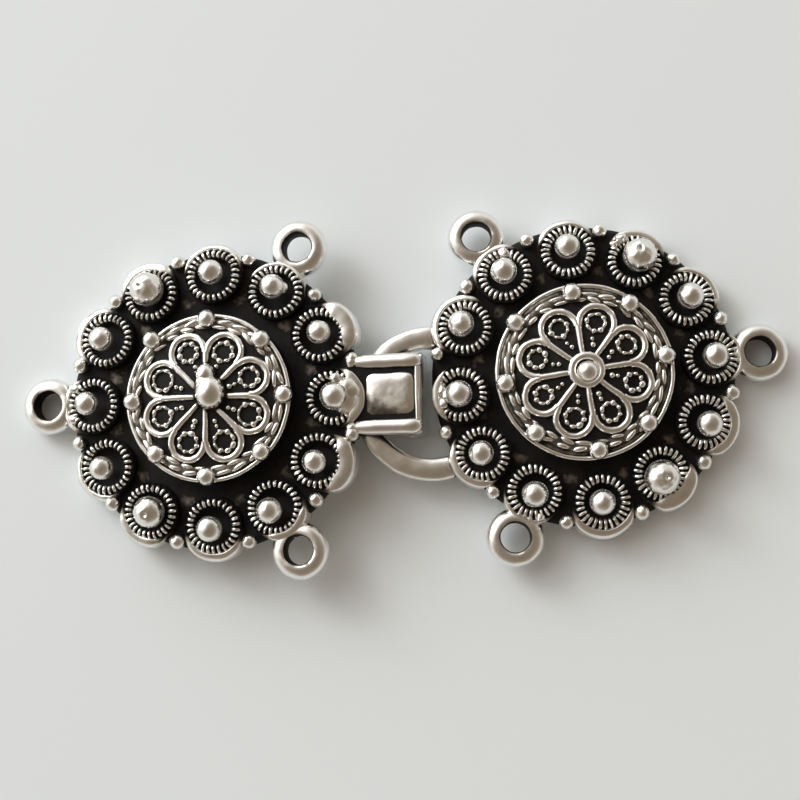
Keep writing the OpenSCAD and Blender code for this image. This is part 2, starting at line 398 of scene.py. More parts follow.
def antique_silver():
    """Silver plate over a zinc casting, blackened and then tumbled.

    High spots are bright bare metal; recesses keep a matt black oxide; between them lies a warm grey.
    """
    blotches_per_metre = 1400.0  # blotches in the blackening, each about 0.7 mm across
    lumps_per_metre = 620.0  # the uneven skin of the casting, in waves of about 1.6 mm
    blotch_depth = 0.6
    material = bpy.data.materials.new("antique_silver_plate")
    material.use_nodes = True
    tree = material.node_tree
    shader = tree.nodes["Principled BSDF"]
    where = add_node(tree, "ShaderNodeTexCoord").outputs["Object"]
    polish = add_node(tree, "ShaderNodeAttribute", attribute_name="polish").outputs["Fac"]
    blotches = add_node(tree, "ShaderNodeTexNoise",
                        [("Vector", where), ("Scale", blotches_per_metre), ("Detail", 4.0),
                         ("Roughness", 0.6)])
    centred = add_node(tree, "ShaderNodeMath", [(0, blotches.outputs["Fac"]), (1, 0.5)],
                       operation="SUBTRACT")
    spread = add_node(tree, "ShaderNodeMath", [(0, centred.outputs[0]), (1, blotch_depth)],
                      operation="MULTIPLY")
    worn = add_node(tree, "ShaderNodeMath", [(0, polish), (1, spread.outputs[0])], operation="ADD",
                    use_clamp=True)
    colour = add_node(tree, "ShaderNodeValToRGB", [("Fac", worn.outputs[0])],
                      [(0.0, "#0b0a09"), (0.3, "#26221f"), (0.5, "#857e74"), (0.7, "#e3dfd8"),
                       (1.0, "#f7f6f3")])
    bare = add_node(tree, "ShaderNodeMapRange",
                    [("Value", worn.outputs[0]), ("From Min", 0.15), ("From Max", 0.45)])
    rough = add_node(tree, "ShaderNodeMapRange",
                     [("Value", worn.outputs[0]), ("From Min", 0.3), ("From Max", 0.8),
                      ("To Min", 0.7), ("To Max", 0.24)])
    lumps = add_node(tree, "ShaderNodeTexNoise",
                     [("Vector", where), ("Scale", lumps_per_metre), ("Detail", 2.0), ("Roughness", 0.5)])
    bump = add_node(tree, "ShaderNodeBump",
                    [("Height", lumps.outputs["Fac"]), ("Strength", 0.2), ("Distance", 0.1 * MM)])
    shader.inputs["Specular IOR Level"].default_value = 0.25
    for name, source in (("Base Color", colour.outputs["Color"]), ("Metallic", bare.outputs["Result"]),
                         ("Roughness", rough.outputs["Result"]), ("Normal", bump.outputs["Normal"])):
        tree.links.new(source, shader.inputs[name])
    return material


SILVER = antique_silver()


# One row for each rosette: the ball's radius, how far the ball sits off its place, how far the ribbed
# ring sits off its place (all in mm, along and across the half), then the smooth worn stretch of the
# ring's outer side: its middle against the outward direction, its half-width (degrees), how far the
# cup's wall spreads at its foot there (mm), and how far the ribs are filled in there, from 0 to 1.
Rosette = namedtuple("Rosette", "ball_r ball_x ball_y ring_x ring_y worn_at worn_half spread filled")
HOOK_ROSETTES = {
    0: Rosette(1.16, -0.07, -0.18, -0.18, -0.22, 4, 74, 0.20, 1.0),
    30: Rosette(0.96, 0.12, -0.17, 0.10, -0.20, -4, 60, 0.60, 1.0),
    60: Rosette(1.02, 0.08, -0.09, 0.20, -0.24, 20, 72, 0.12, 0.3),
    90: Rosette(1.03, 0.13, -0.05, 0.10, -0.06, 4, 78, 0.30, 0.1),
    120: Rosette(1.40, -0.10, 0.18, -0.12, -0.04, -10, 70, 0.38, 0.4),
    150: Rosette(0.99, -0.20, 0.03, -0.05, 0.08, 2, 72, 0.48, 0.0),
    180: Rosette(0.97, 0.03, -0.09, 0.18, -0.14, 0, 62, 0.40, 0.0),
    210: Rosette(0.98, -0.03, -0.22, 0.05, -0.10, 8, 72, 0.40, 0.0),
    240: Rosette(1.28, 0.22, -0.06, 0.0, -0.08, -8, 62, 0.42, 0.3),
    270: Rosette(1.06, 0.08, -0.14, 0.14, 0.03, -3, 70, 0.40, 0.2),
    300: Rosette(1.06, -0.20, -0.15, 0.08, 0.0, 8, 62, 0.24, 0.6),
    330: Rosette(0.97, -0.31, -0.17, -0.12, -0.08, 18, 66, 0.56, 1.0),
}
EYE_ROSETTES = {
    0: Rosette(1.10, -0.10, 0.04, -0.16, 0.02, -6, 64, 0.0, 1.0),
    30: Rosette(1.00, -0.03, 0.20, -0.03, 0.26, 8, 72, 0.28, 0.5),
    60: Rosette(1.06, -0.03, 0.16, 0.0, 0.0, -6, 60, 0.18, 0.2),
    90: Rosette(1.04, 0.0, 0.05, -0.08, 0.08, -2, 74, 0.44, 0.2),
    120: Rosette(1.40, 0.30, 0.10, 0.18, -0.18, 8, 62, 0.56, 0.9),
    150: Rosette(1.03, -0.20, 0.16, -0.06, -0.06, 8, 74, 0.44, 0.5),
    180: Rosette(1.05, -0.08, 0.0, 0.06, -0.02, -4, 56, 0.20, 0.1),
    210: Rosette(1.08, -0.20, 0.20, -0.03, 0.22, 10, 64, 0.34, 0.2),
    240: Rosette(1.38, -0.50, 0.18, -0.14, 0.34, 8, 66, 0.30, 0.5),
    270: Rosette(1.04, -0.03, 0.12, -0.10, 0.24, 4, 66, 0.30, 0.2),
    300: Rosette(1.08, 0.10, 0.06, 0.06, 0.10, 4, 62, 0.24, 0.3),
    330: Rosette(1.06, 0.24, 0.08, 0.03, 0.22, -12, 84, 0.34, 0.2),
}
# Lumps where the casting filled in, by rosette: place outward, across and above the cup's rim, radius (mm).
HOOK_LUMPS = {
    0: [(0.95, 0.3, -0.85, 1.45), (0.9, -0.45, -0.75, 1.3), (0.0, 1.3, -0.05, 0.5)],
    120: [(0.85, 0.1, -0.1, 1.05)],
    60: [(0.3, -0.75, 0.45, 0.55)],
    180: [(1.6, -1.3, -0.2, 0.5), (1.7, 1.25, -0.25, 0.5)],
}
EYE_LUMPS = {
    0: [(0.85, 0.1, 0.62, 0.46), (1.35, -0.55, -0.35, 0.6), (1.4, 0.5, -0.3, 0.55)],
    60: [(1.7, 1.25, -0.1, 0.34)],
    120: [(-0.1, 0.5, 1.0, 0.62)],
    240: [(1.1, 1.35, -0.1, 0.5), (0.4, 1.75, -0.15, 0.4)],
    300: [(1.5, -0.95, -0.2, 0.5)],
}
# How far single balls of the domes sit off their places, along and across the half (mm).
HOOK_DOME_BALLS = {135: (-0.10, 0.32), 180: (0.17, -0.18), 225: (0.31, 0.02)}
EYE_DOME_BALLS = {45: (0.14, -0.23), 135: (0.29, 0.37), 180: (-0.11, -0.23), 225: (0.15, -0.26),
                  315: (0.32, -0.18)}

BIG_BALL_R = 1.2
BIG_BALL_PIT = (0.05, 0.12, 1.0)
# The dark hollow under a ball as (radius, height against the leaning rim), from its middle outwards.
CUP_HOLLOW = [(0.5, -0.95), (1.0, -0.92), (1.35, -0.75), (1.55, -0.5), (1.72, -0.28)]
# The cup's upright wall as (share of its spread, height above the back), from the top down.
CUP_WALL = [(0.4, 1.4), (0.8, 1.0), (1.0, 0.5), (1.0, 0.15), (-1.0, 0.0)]
CUP_WALL_SPREAD = 0.05


def worn_share(angle, row):
    """How far the ribs are worn to a smooth roll at an angle of the ring, from 0 to 1."""
    reach = 16  # degrees past the worn stretch before the ribs are whole again
    fade = 46  # degrees over which they fade
    away = abs((angle - row.worn_at + 180) % 360 - 180)
    t = clamp((row.worn_half + reach - away) / fade)
    return t * t * (3 - 2 * t)


def flange_line(row, worn):
    """The ring's bed and worn flange at one angle, as (radius, height against the leaning rim)."""
    fill_in = 0.6  # how far the inner edge closes in over filled ribs
    swell = 1.2  # the rim spreads this much more than the foot
    edge_round = 0.14
    inner = RIB_OUTER_R - fill_in * row.filled * max(0.0, (worn - 0.3) / 0.7) ** 1.5
    outer = SKIRT_R + swell * row.spread * worn
    top = 0.03 - RING_SINK + worn * (0.15 + 0.2 * row.filled)
    near = min(edge_round, 0.4 * (outer - inner))
    far = min(edge_round + 0.5 * row.spread * worn, 0.6 * (outer - inner))
    return [(inner, top - near), (inner + 0.3 * near, top - 0.3 * near), (inner + near, top),
            (outer - far, top - 0.02), (outer - 0.6 * far, top - 0.1 * far - 0.02),
            (outer - 0.25 * far, top - 0.36 * far), (outer, top - 0.8 * far)]


def cup(row):
    """The body of a rosette: a dark hollow for the ball, the ring's bed, its worn flange and the wall."""
    steps = 72
    lean = on_rosette()
    points = []
    for i in range(steps):
        angle = 360 * i / steps
        a = math.radians(angle)
        worn = worn_share(angle, row)
        outward = clamp(0.45 + math.cos(a))
        flange = flange_line(row, worn)
        inner = flange[0][0] - 0.05
        outer = flange[-1][0]
        for r, h in CUP_HOLLOW + [(inner, -0.3)]:
            points.append((lean @ around(r, a, h), 0.0, 0.0))
        for r, h in flange:
            points.append((lean @ around(r, a, h), 0.05 + 0.95 * worn, worn * (0.4 + 0.6 * outward)))
        for share, h in CUP_WALL:
            r = outer + CUP_WALL_SPREAD * share
            spot = Vector((ROSETTE_CIRCLE_R + r * math.cos(a), r * math.sin(a), h))
            points.append((spot, max(outward, 0.06), outward))
    columns = len(points) // steps
    # The bottom's middle lies above the notch that lets the eye pass under the hook half's edge.
    points.append((lean @ Vector((0, 0, CUP_HOLLOW[0][1])), 0.0, 0.0))
    points.append((Vector((ROSETTE_CIRCLE_R, 0, STRAP_UNDER)), 0.8, 0.0))
    corners, polish, opened = zip(*points)
    return corners, ring_faces(steps, columns, True, False) + end_fans(steps, columns), polish, opened


def pitted(corners, depth, seed, pit=None):
    """Roughens a ball the way a poor casting does, with one small deep pit toward a direction if given."""
    waves_per_mm = 2.4
    pit_depth = 0.3
    pit_width = 0.11
    offset = Vector((seed, 0.0, 0.0))
    moved = []
    for c in map(Vector, corners):
        out = c.normalized()
        change = depth * noise.noise(c * waves_per_mm + offset)
        if pit is not None:
            change -= pit_depth * math.exp(-((out - Vector(pit).normalized()).length / pit_width) ** 2)
        moved.append(c + out * change)
    return moved


def add_rosette(metal, angle, row, lumps, rib_r, skew, inset, seed):
    """A cup with a ribbed rim and a ball in it, and the lumps where the casting filled in."""
    turn = turn_z(angle + skew) @ shift(-inset, 0, 0)
    ring_stand = shift(row.ring_x, row.ring_y, 0) @ turn
    corners, faces, polish, opened = cup(row)
    metal.add(corners, faces, ring_stand, polish, opened)
    ribs, faces = ring_of_ribs(rib_r, seed)
    metal.add(ribs, faces, ring_stand @ on_rosette() @ shift(0, 0, 0.05 - rib_r), 1.0, 0.9)
    is_big = row.ball_r > BIG_BALL_R
    rings, steps, roughness, pit = (28, 48, 0.06, BIG_BALL_PIT) if is_big else (18, 28, 0.03, None)
    sphere, faces = ball(row.ball_r, rings, steps)
    sphere = pitted(sphere, roughness, seed, pit)
    shine = [0.6 + 0.4 * clamp(2.2 * c[2] / row.ball_r) for c in sphere]
    ball_stand = shift(row.ball_x, row.ball_y, 0) @ turn @ on_rosette() @ shift(0, 0, BALL_LIFT)
    metal.add(sphere, faces, ball_stand, shine, 1.0)
    for out, across, lift, r in lumps:
        lump, faces = ball(r, 12, 18)
        lump_stand = turn @ on_rosette() @ shift(out, across, lift)
        metal.add(pitted(lump, 0.12, seed + r), faces, lump_stand, 1.0, 0.8)


def add_rosettes(metal, table, lumps, rib_r, skew, inset, seed):
    """The twelve rosettes of one half; the one beside the joint is turned by skew and set in by inset."""
    for angle, row in table.items():
        at_joint = angle == 0
        add_rosette(metal, angle, row, lumps.get(angle, []), rib_r, skew if at_joint else 0.0,
                    inset if at_joint else 0.0, seed + angle)


def add_grains(metal, seed):
    """The grains between the rosettes, each on a foot that runs out to the edge."""
    rng = np.random.default_rng(seed)
    foot_size = Matrix.Diagonal((0.8, 0.42, 0.5, 1.0))
    for i in range(ROSETTES):
        angle = (i + 0.5) * 360 / ROSETTES + rng.uniform(-1, 1)
        r = rng.uniform(0.56, 0.66)
        out = GRAIN_CIRCLE_R + rng.uniform(-0.12, 0.1)
        sphere, faces = ball(r, 10, 16)
        metal.add(pitted(sphere, 0.08, seed + i), faces, turn_z(angle) @ shift(out, 0, GRAIN_H), 1.0, 0.8)
        foot, faces = ball(1.0, 10, 16)
        foot_stand = turn_z(angle + rng.uniform(-1, 1)) @ shift(out - 0.25, 0, 0.95)
        metal.add(foot, faces, foot_stand @ foot_size, 0.4, 0.5)


def add_disc(metal):
    """The disc with its hollow back, the dark ground between rosettes and dome, and the dome's body."""
    edge_round = 0.3
    ground_line = [11.5, 10.5, 9.6, 9.2, 8.8, 8.4, 8.0, 7.5]
    back_polish = 0.72
    wall_polish = 0.55
    dome_polish = 0.2
    ground_polish = 0.08
    patch_polish = 0.42  # added in the middle of the worn patches between the rosettes
    patch_r = 8.6
    patch_width = 0.8
    ground_open = 0.85
    edge = [(0.0, HOLLOW_DEPTH), (HOLLOW_R * 0.5, HOLLOW_DEPTH), (HOLLOW_R - edge_round, HOLLOW_DEPTH),
            (HOLLOW_R, HOLLOW_DEPTH - edge_round), (HOLLOW_R, 0.25), (HOLLOW_R + 0.25, 0.0)]
    edge += [(r, 0.0) for r in (7.0, 8.5, 10.0, 11.0, 11.7)]
    edge += [(DISC_R - edge_round, 0.0), (DISC_R, edge_round), (DISC_R, DISC_T - 0.35),
             (DISC_R - 0.35, DISC_T)]
    edge += [(r, DISC_T) for r in ground_line]
    edge += [(DOME_R + 0.12, DISC_T), (DOME_R, DISC_T + 0.15)]
    rim_h = DOME_H - DOME_RISE
    edge += [(DOME_R, rim_h - 0.7), (DOME_R, rim_h - 0.12), (DOME_R - 0.06, rim_h)]
    dome_steps = 16
    dome_rows = [(DOME_R - 0.1) * (1 - i / dome_steps) for i in range(1, dome_steps)]
    edge += [(r, dome_height(r)) for r in dome_rows]
    edge.append((0.0, DOME_H))
    corners, faces = lathe(edge, 96)
    polish = []
    opened = []
    for x, y, z in corners:
        r = math.hypot(x, y)
        free = 0.0
        if z < edge_round or z < HOLLOW_DEPTH + 0.01 and r < HOLLOW_R + 0.1:
            shine = back_polish
        elif r > DOME_R + 0.05:
            between = max(0.0, -math.cos(math.atan2(y, x) * ROSETTES))
            shine = ground_polish + patch_polish * between * math.exp(-((r - patch_r) / patch_width) ** 2)
            free = ground_open
        elif r > DOME_R - 0.3:
            shine = wall_polish
        else:
            shine = dome_polish
        polish.append(shine)
        opened.append(free)
    metal.add(corners, faces, IN_PLACE, polish, opened)


def add_petal(metal, leaf, bead_ring_r, rng, seed):
    """A wire petal on the dome with a beaded ring in it, and two grains between it and the middle."""
    half_step = 180 / PETALS
    middle = leaf @ on_dome(PETAL_CIRCLE_R)
    arc = arc_points(0, 0, PETAL_R, -90 - half_step, 90 + half_step, 30)
    path = [middle @ Vector((x + rng.uniform(-0.02, 0.02), y, 0.03)) for x, y in arc]
    wire, faces = sweep(path, PETAL_WIRE_R, 10)
    metal.add(wire, faces)
    ring_r = bead_ring_r * rng.uniform(0.93, 1.06)
    beads, faces = ring_of_grains(8, ring_r, (0.44, 0.5, 0.44), 0, 0.34, seed)
    ring_stand = middle @ shift(rng.uniform(-0.06, 0.06) - 0.04, rng.uniform(-0.06, 0.06), 0.08)
    metal.add(beads, faces, ring_stand)
    core, faces = torus(ring_r, 0.13, 24, 8)
    metal.add(core, faces, ring_stand @ shift(0, 0, -0.05), 0.6)
    for r in (2.6, 2.15):
        grain, faces = ball(rng.uniform(0.17, 0.28), 6, 8)
        metal.add(grain, faces, leaf @ turn_z(rng.uniform(-4, 4)) @ on_dome(r) @ shift(0, 0, 0.06), 0.9)


def add_spoke(metal, spoke):
    """A wire that runs out between two petals, thinner towards the dome's middle."""
    end = PETAL_CIRCLE_R * math.cos(math.radians(180 / PETALS)) + 0.05
    path = [spoke @ on_dome(r) @ Vector((0, 0, 0.04)) for r in np.linspace(0.8, end, 10)]
    radii = [PETAL_WIRE_R * (0.75 + 0.25 * t) for t in np.linspace(0, 1, 10)]
    wire, faces = sweep(path, radii, 10)
    metal.add(wire, faces)


def add_rope(metal, at, seed):
    """The twisted rope round the petals: two rows of slanting strands on a flat bed."""
    rows = ((ROPE_R - 0.25, 27, 82), (ROPE_R + 0.22, 28, 97))
    for k, (r, count, tilt) in enumerate(rows):
        strands, faces = ring_of_grains(count, r, (1.36, 0.42, 0.4), tilt, 0.2, seed + k)
        metal.add(strands, faces, at @ shift(0, 0, dome_height(r) + 0.1), 0.95, 0.4)
    bed, faces = torus(ROPE_R, 0.42, 96, 10, squash=0.5)
    metal.add(bed, faces, at @ shift(0, 0, dome_height(ROPE_R) - 0.03), 0.46, 0.8)


def add_dome(metal, shifts, turn, rim_out, bead_ring_r, seed):
    """The wirework on the dome, its rim and the balls round it."""
    at = turn_z(turn)
    step = 360 // PETALS
    rng = np.random.default_rng(seed)
    for i in range(PETALS):
        add_petal(metal, at @ turn_z((i + 0.5) * step), bead_ring_r, rng, seed + i)
    for i in range(PETALS):
        add_spoke(metal, at @ turn_z(i * step))
    add_rope(metal, at, seed + 40)
    rim, faces = torus(DOME_R + rim_out, 0.2, 96, 10)
    metal.add(rim, faces, at @ shift(0, 0, DOME_H - DOME_RISE - 0.06 - 0.2 * rim_out), 1.0, 0.6)
    for angle in range(0, 360, step):
        off_x, off_y = shifts.get(angle, (0.0, 0.0))
        stand = shift(off_x, off_y, 0) @ at @ turn_z(angle) @ on_dome(RIM_BALL_CIRCLE_R) @ shift(0, 0, 0.3)
        sphere, faces = ball(RIM_BALL_R, 12, 20)
        metal.add(sphere, faces, stand, 1.0, 1.0)


def add_loops(metal):
    """The three strand loops: rounded rings with a straight dark bore."""
    wall = math.degrees(math.acos((LOOP_HOLE_R - LOOP_R) / LOOP_WIRE_R)) - 6
    inner_top = LOOP_H + 0.72
    bore_fade = 0.16
    profile = arc_points(LOOP_R, LOOP_H, LOOP_WIRE_R, -wall, wall, 18)
    profile += [(LOOP_HOLE_R, inner_top), (LOOP_HOLE_R, LOOP_H), (LOOP_HOLE_R, 2 * LOOP_H - inner_top)]
    corners, faces = lathe(profile, 56, closed=True)
    shine = [0.1 + 0.9 * clamp((math.hypot(x, y) - LOOP_HOLE_R - 0.02) / bore_fade) for x, y, z in corners]
    for turn in (60, 180, 300):
        metal.add(corners, faces, turn_z(turn) @ shift(LOOP_REACH, 0, 0), shine, 1.0)


def add_ball_tip(metal):
    """The hook half's tip: an uneven ball with a smaller lump run into its side."""
    middle = shift(0.5, 0.35, DOME_H)
    blobs = [(1.22, 18, 28, shift(0, -0.08, 0.35) @ Matrix.Diagonal((1.0, 1.14, 1.0, 1.0))),
             (0.92, 12, 18, shift(-0.42, 1.38, 0.2) @ Matrix.Diagonal((0.85, 1.1, 1.0, 1.0))),
             (0.62, 10, 16, shift(-0.5, 0.75, 0.55))]
    for r, rings, steps, at in blobs:
        blob, faces = ball(r, rings, steps)
        metal.add(blob, faces, middle @ at, 1.0, 1.0)


def add_cup_tip(metal):
    """The eye half's tip: a ring round a ball."""
    middle = shift(-0.1, 0, DOME_H + 0.1)
    ring, faces = torus(1.17, 0.35, 48, 16)
    metal.add(ring, faces, middle, 1.0, 1.0)
    sphere, faces = ball(0.9, 14, 24)
    metal.add(sphere, faces, middle @ shift(-0.08, 0.16, 0), 1.0, 0.8)


def grid_block(x0, x1, y0, y1, bottom, top, nx, ny):
    """A block whose top follows a height function."""
    corners = []
    for level in (0, 1):
        for i in range(nx + 1):
            for j in range(ny + 1):
                x = x0 + (x1 - x0) * i / nx
                y = y0 + (y1 - y0) * j / ny
                corners.append((x, y, bottom if level == 0 else top(x, y)))

    def at(level, i, j):
        return (level * (nx + 1) + i) * (ny + 1) + j

    faces = []
    for i in range(nx):
        for j in range(ny):
            for level in (0, 1):
                faces.append([at(level, i, j), at(level, i + 1, j), at(level, i + 1, j + 1),
                              at(level, i, j + 1)])
        for j in (0, ny):
            faces.append([at(0, i, j), at(0, i + 1, j), at(1, i + 1, j), at(1, i, j)])
    for j in range(ny):
        for i in (0, nx):
            faces.append([at(0, i, j), at(0, i, j + 1), at(1, i, j + 1), at(1, i, j)])
    return corners, faces


def bevelled_plate(outline, half_width, width=0.18):
    """An outline of (x, z) points drawn out along Y both ways, its edges rounded."""
    mesh = bmesh.new()
    sides = []
    for y in (-half_width, half_width):
        sides.append([mesh.verts.new((x, y, z)) for x, z in outline])
    n = len(outline)
    mesh.faces.new(sides[0])
    mesh.faces.new(sides[1][::-1])
    for i in range(n):
        mesh.faces.new([sides[0][i], sides[0][(i + 1) % n], sides[1][(i + 1) % n], sides[1][i]])
    edges = [e for e in mesh.edges if abs(e.verts[0].co.y - e.verts[1].co.y) < 1e-6]
    bmesh.ops.bevel(mesh, geom=edges, offset=width, segments=3, affect="EDGES", profile=0.5)
    bmesh.ops.triangulate(mesh, faces=[f for f in mesh.faces if len(f.verts) > 4])
    corners = [tuple(v.co) for v in mesh.verts]
    mesh.verts.index_update()
    faces = [[v.index for v in f.verts] for f in mesh.faces]
    mesh.free()
    return corners, faces


def add_strap(metal, top, floor):
    """The flat strap that runs out and bends down, and the narrower return that runs back below."""
    start = 10.9
    wall_x = HOOK_REACH - 1.05
    sink = 0.25  # the strap lies this far below the tops of the rails
    top_r = 0.45
    bend_r = 0.9
    inner_r = 0.4
    lap_x = wall_x - 0.6
    tip_x = RETURN_START - 0.3
    outer = arc_points(HOOK_REACH - top_r, top - top_r, top_r, 90, 0, 8)
    outer += arc_points(HOOK_REACH - bend_r, floor + bend_r, bend_r, 0, -90, 8)
    inner = arc_points(wall_x - inner_r, STRAP_UNDER - SLOT_H + inner_r, inner_r, -90, 0, 5)
    inner += arc_points(wall_x - inner_r, STRAP_UNDER - inner_r, inner_r, 0, 90, 5)
    outline = [(start, top - sink)] + [(x - 0.001, z - (sink if z > top - 0.3 else 0)) for x, z in outer]
    outline += [(lap_x, floor), (lap_x, floor + RETURN_T)] + inner + [(start, STRAP_UNDER)]
    plate, faces = bevelled_plate(outline, HOOK_W / 2)
    metal.add(plate, faces)
    back = [(tip_x, floor + 0.2), (RETURN_START, floor), (wall_x, floor), (wall_x, floor + RETURN_T),
            (RETURN_START, floor + RETURN_T), (tip_x, floor + RETURN_T - 0.2)]
    leg, faces = bevelled_plate(back, RETURN_W / 2, 0.14)
    metal.add(leg, faces)


def add_rails(metal, rail_y, rail_start, top):
    """The two round rails along the strap's sides, bright outside and dark inside, with a ball each."""
    rail_h = top - 0.2
    rail_end = HOOK_REACH - 0.6
    bright_width = 0.42
    thickness = (0.8, 0.95, 0.98, 0.96, 0.95, 0.98, 1.0, 0.9, 0.6)
    for side in (-1, 1):
        path = [(x, side * rail_y, rail_h) for x in np.linspace(rail_start, rail_end, 7)]
        path += [(rail_end + on, side * rail_y, rail_h - down) for on, down in ((0.25, 0.05), (0.42, 0.2))]
        rail, faces = sweep(path, [RAIL_R * share for share in thickness], 20, squash=0.92)
        shine = [1.0 if side * y > rail_y - bright_width else 0.25 for x, y, z in rail]
        metal.add(rail, faces, IN_PLACE, shine, 1.0)
        end, faces = ball(0.54, 12, 20)
        metal.add(end, faces, shift(rail_start - 0.4, side * (rail_y + 0.08), rail_h + 0.1), 1.0, 1.0)


def add_panel(metal, top):
    """The raised cushion between the rails, darkened towards its inner corner by a painted dark reflection,
    and the bar across its end.
    """
    middle_x = HOOK_REACH - 2.52
    half_x = 2.02
    half_y = 1.78
    crown = 0.24
    edge_polish = 0.1
    full_polish = 0.94
    # how far a painted dark reflection lowers the polish at the cushion's inner corner
    painted_dark_reflection = 0.5
    bottom = STRAP_UNDER + 0.1

    def cushion(x, y):
        across = abs(y / half_y)
        along = abs((x - middle_x) / half_x)
        return top + crown - 0.3 * across ** 6 - 0.26 * along ** 6

    panel, faces = grid_block(middle_x - half_x, middle_x + half_x, -half_y, half_y, bottom, cushion, 28, 24)
    shine = []
    for x, y, z in panel:
        along = (x - middle_x) / half_x
        across = y / half_y
        # painted shade: the polish falls off towards the inner (lower-left) corner, a painted dark
        # reflection of the dim room
        dark_reflection_share = clamp(0.3 - 0.45 * along - 0.75 * across)
        at_edge = max(abs(along), abs(across)) > 0.98
        shine.append(edge_polish if at_edge else full_polish - painted_dark_reflection * dark_reflection_share)
    metal.add(panel, faces, IN_PLACE, shine, 1.0)
    bar_x = HOOK_REACH - 0.34
    bar, faces = sweep([(bar_x, y, top - 0.04) for y in np.linspace(-2.3, 2.3, 9)], 0.16, 10)
    metal.add(bar, faces, IN_PLACE, 1.0, 1.0)


def add_hook(metal):
    """The hook: strap, bend and return, with two rails, the dark bed between them and the panel."""
    floor = STRAP_UNDER - SLOT_H - RETURN_T
    top = STRAP_UNDER + STRAP_T
    rail_y = HOOK_W / 2 - RAIL_R
    rail_start = HOOK_REACH - 5.3
    add_strap(metal, top, floor)
    add_rails(metal, rail_y, rail_start, top)
    bed, faces = grid_block(rail_start - 0.6, HOOK_REACH - 0.5, -rail_y, rail_y, STRAP_UNDER + 0.1,
                            lambda x, y: top + 0.02, 4, 4)
    metal.add(bed, faces, IN_PLACE, 0.0)
    add_panel(metal, top)


def add_eye(metal):
    """An arch of flattened wire, flat underneath, with its ends run into the disc."""
    half_t = EYE_T / 2
    steps = 72
    sides = 24
    squareness = 0.72  # 1 gives an oval wire, less squares its corners
    section = []
    for i in range(sides):
        a = 2 * math.pi * i / sides
        x = EYE_WIRE_R * math.copysign(abs(math.cos(a)) ** squareness, math.cos(a))
        z = half_t * math.copysign(abs(math.sin(a)) ** squareness, math.sin(a))
        section.append((x, z + half_t))
    corners = []
    for i in range(steps + 1):
        a = math.radians(-EYE_SWEEP + 2 * EYE_SWEEP * i / steps)
        corners += [((EYE_R + x) * math.cos(a), (EYE_R + x) * math.sin(a), z) for x, z in section]
    faces = ring_faces(steps + 1, sides, False, True)
    faces.append(list(range(sides)))
    faces.append([steps * sides + j for j in range(sides)])
    metal.add(corners, faces, turn_z(EYE_SKEW) @ shift(EYE_CENTRE, 0, 0))


def smoothstep(values, low, high):
    t = np.clip((values - low) / (high - low), 0, 1)
    return t * t * (3 - 2 * t)


def blurred(grid, sigma):
    reach = int(3 * sigma) + 1
    kernel = np.exp(-0.5 * (np.arange(-reach, reach + 1) / sigma) ** 2)
    kernel /= kernel.sum()
    for axis in (0, 1):
        grid = np.apply_along_axis(lambda row: np.convolve(np.pad(row, reach, mode="edge"), kernel, "valid"),
                                   axis, grid)
    return grid


def height_map(corners, faces, pitch, margin):
    """How high the metal stands over a grid, seen from above, and the grid's corner nearest zero."""
    tree = BVHTree.FromPolygons([tuple(c) for c in corners], faces)
    above = 20.0
    down = Vector((0, 0, -1))
    low = corners.min(axis=0) - margin
    high = corners.max(axis=0) + margin
    nx, ny = (int((high[k] - low[k]) / pitch) + 1 for k in (0, 1))
    heights = np.zeros((nx, ny))
    for i in range(nx):
        for j in range(ny):
            hit = tree.ray_cast(Vector((low[0] + i * pitch, low[1] + j * pitch, above)), down)[0]
            if hit is not None:
                heights[i, j] = max(hit.z, 0.0)
    return heights, low


def worn_polish(corners, faces, polish, opened):
    """Brightens what stands above its surroundings and blackens what lies below them."""
    pitch = 0.08
    near_reach = 0.24
    wide_reach = 0.7
    black_below = -0.22
    bright_above = 0.1
    least = 0.12
    back_h = 0.35
    heights, low = height_map(corners, faces, pitch, 1.5)
    near = blurred(heights, near_reach / pitch)
    wide = blurred(heights, wide_reach / pitch)
    last = [size - 1 for size in heights.shape]
    column, row = np.clip(((corners[:, :2] - low[:2]) / pitch).round().astype(int), 0, last).T
    z = corners[:, 2]
    stands = 0.75 * (z - near[column, row]) + 0.3 * (z - wide[column, row])
    lift = np.maximum(smoothstep(stands, black_below, bright_above), opened)
    return np.where(z > back_h, polish * (least + (1 - least) * lift), polish)


def finish_casting(metal, name, node, at):
    """Makes the gathered metal one slightly wavy casting that stands for the CAD node."""
    corners = np.concatenate(metal.corners)
    polish = worn_polish(corners, metal.faces, np.concatenate(metal.polish), np.concatenate(metal.open))
    uneven = np.zeros_like(corners)
    for waves_per_mm, depth in ((0.9, 0.035), (2.6, 0.012)):
        uneven += np.array([noise.noise_vector(Vector(c) * waves_per_mm) for c in corners]) * depth
    moved = moved_by(at, corners + uneven)
    moved[:, 2] = np.maximum(moved[:, 2], 0.0)
    mesh = bpy.data.meshes.new(name)
    mesh.from_pydata((moved * MM).tolist(), [], metal.faces)
    mesh.validate()
    solid = bmesh.new()
    solid.from_mesh(mesh)
    bmesh.ops.recalc_face_normals(solid, faces=solid.faces)
    solid.to_mesh(mesh)
    solid.free()
    mesh.attributes.new("polish", "FLOAT", "POINT").data.foreach_set("value", polish.astype(np.float32))
    mesh.materials.append(SILVER)
    mesh.shade_smooth()
    mesh.set_sharp_from_angle(angle=math.radians(50))
    piece = bpy.data.objects.new(name, mesh)
    bpy.context.scene.collection.objects.link(piece)
    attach(piece, node)
    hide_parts(node)


def clear_notch(metal):
    """Cuts room for the eye under the edge of the hook half's disc, from the cup's middle outwards."""
    notch_start = 10.3
    notch_half_w = 4.0
    for corners in metal.corners:
        x, y, z = corners.T
        inside = (x > notch_start) & (np.abs(y) < notch_half_w) & (z < STRAP_UNDER)
        corners[inside, 2] = STRAP_UNDER


